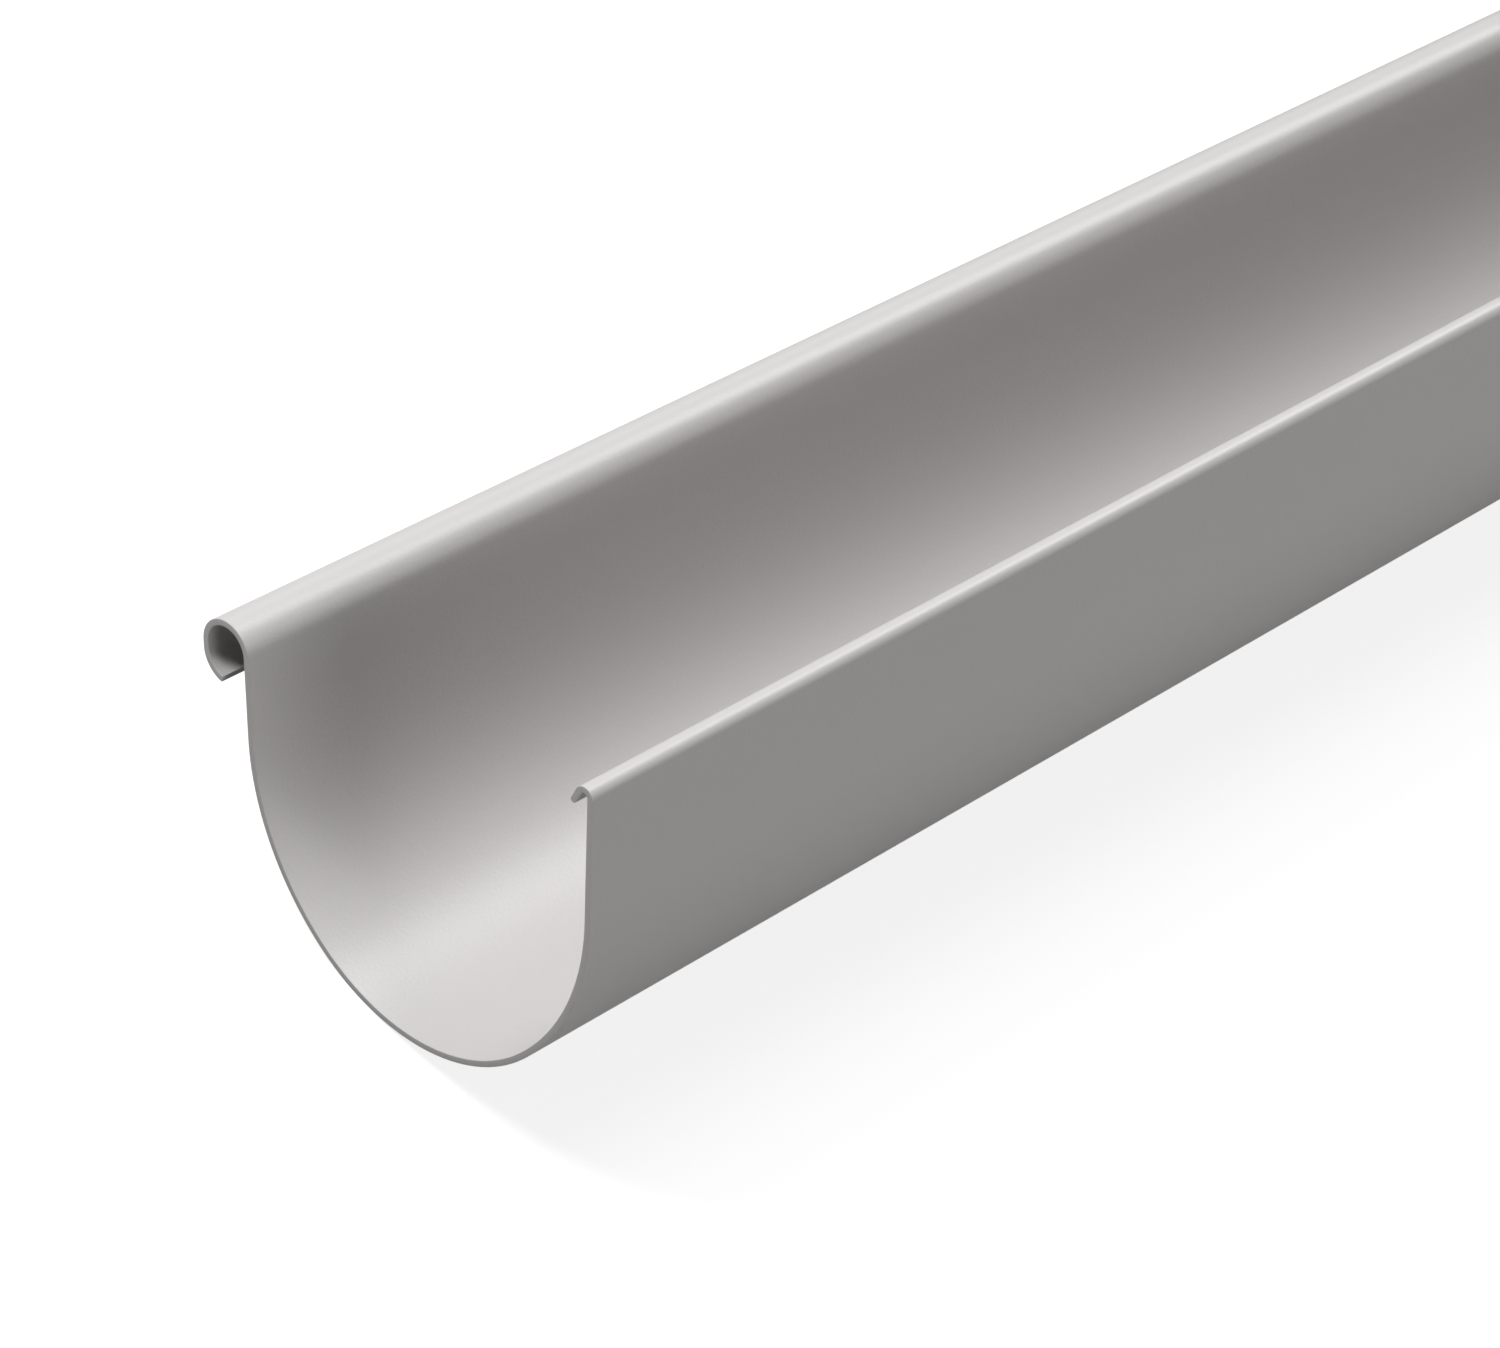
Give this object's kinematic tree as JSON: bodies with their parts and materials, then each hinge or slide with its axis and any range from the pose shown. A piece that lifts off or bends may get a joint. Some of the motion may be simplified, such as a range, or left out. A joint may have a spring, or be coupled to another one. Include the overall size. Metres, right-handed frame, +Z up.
{
  "type": "rainwater gutter length",
  "caption": "Deep half-round plastic rainwater gutter: an open trough with a round front bead, a small inward rear hook and square cut ends.",
  "frame": {"origin": "on the floor, under the middle of the box of the gutter as it rests", "axes": "+X along the gutter; +Y to the side of the front bead; +Z up. The gutter lies as it rests unheld, rolled about X by 24.4 degrees towards its bead."},
  "size_m": [2, 0.1448, 0.1256],
  "materials": {
    "upvc": "satin light grey uPVC, smooth as extruded"
  },
  "bodies": {
    "root": {"gutter": "upvc"}
  },
  "joints": []
}
